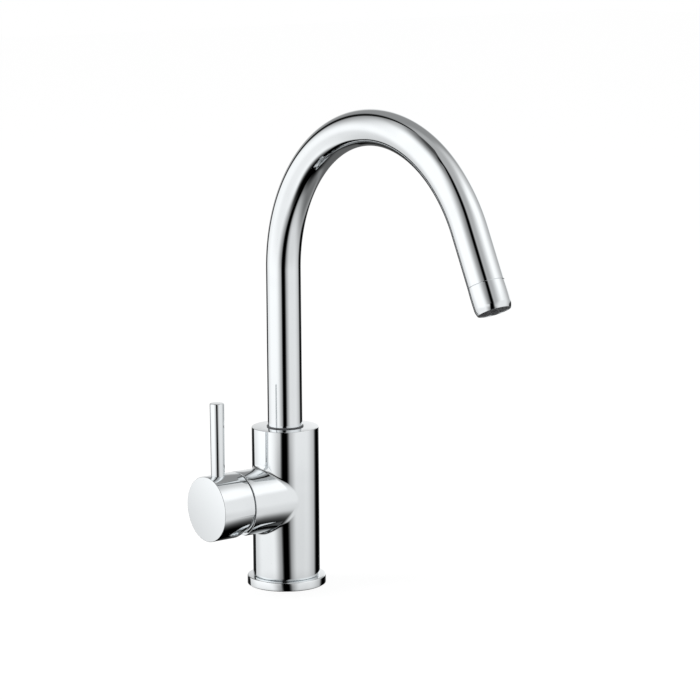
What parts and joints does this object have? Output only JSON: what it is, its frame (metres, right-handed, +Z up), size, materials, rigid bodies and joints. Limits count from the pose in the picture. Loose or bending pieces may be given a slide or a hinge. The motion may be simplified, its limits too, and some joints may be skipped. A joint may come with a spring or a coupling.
{
  "type": "three way filtered water tap",
  "caption": "Chromed single-lever kitchen tap: round body with side pin lever, tall swan-neck spout that swivels, and a separate waterway for filtered water.",
  "frame": {"origin": "centre of the underside of the base, on the worktop, over the middle of the tap hole", "axes": "+Z up out of the worktop along the body and the rise of the spout; +X the way the spout reaches at rest; the handle stands out along -Y"},
  "size_m": [0.266, 0.0981, 0.3484],
  "materials": {
    "polished_chrome": "bright chrome plate on brass",
    "bare_brass": "turned brass, unplated",
    "stainless": "stainless steel",
    "black_rubber": "moulded rubber",
    "grey_plastic": "moulded acetal, mid grey",
    "white_plastic": "moulded acetal, natural white",
    "dark_plastic": "moulded plastic, dark grey",
    "ceramic": "lapped alumina ceramic"
  },
  "bodies": {
    "tap_body": {"body_casting": "polished_chrome", "base_ring": "polished_chrome", "base_seal": "black_rubber", "spout_glide_ring": "grey_plastic", "spout_retaining_screw": "stainless", "filter_feed_pipe": "bare_brass", "filter_pipe_o_ring": "black_rubber", "cartridge_base": "white_plastic", "cartridge_base_seals": "black_rubber", "cartridge_housing": "white_plastic", "fixed_disc": "ceramic", "cartridge_nut": "bare_brass", "cartridge_dome": "polished_chrome"},
    "carrier": {"cartridge_rotor": "grey_plastic", "pivot_pin": "stainless"},
    "disc": {"disc_driver": "white_plastic", "moving_disc": "ceramic"},
    "lever": {"spindle": "bare_brass", "handle_cap": "polished_chrome", "lever_pin": "polished_chrome", "handle_grub_screw": "stainless"},
    "spout": {"spout_tube": "polished_chrome", "spout_foot": "bare_brass", "spout_o_rings": "black_rubber", "spout_lower_glide_ring": "white_plastic", "filtered_water_tube": "white_plastic", "aerator_collar": "polished_chrome", "aerator_washer": "black_rubber", "aerator_screen": "stainless", "aerator_insert": "dark_plastic"}
  },
  "joints": [
    {"name": "spout_swivel", "type": "hinge", "parent": "tap_body", "child": "spout", "pos_m": [0, 0, 0.1], "axis": [0, 0, 1], "continuous": true},
    {"name": "lever_turn", "type": "hinge", "parent": "tap_body", "child": "carrier", "pos_m": [0, -0.0439, 0.0641], "axis": [0, 1, 0], "range_deg": [-45, 90]},
    {"name": "lever_tilt", "type": "hinge", "parent": "carrier", "child": "lever", "pos_m": [0, -0.0439, 0.0641], "axis": [1, 0, 0], "range_deg": [0, 17.5]},
    {"name": "disc_shift", "type": "slide", "parent": "carrier", "child": "disc", "axis": [0, 0, 1], "range_m": [0, 0.0037]}
  ],
  "couplings": [
    {"joint": "disc_shift", "follows": "lever_tilt", "m_per_rad": 0.0119}
  ]
}
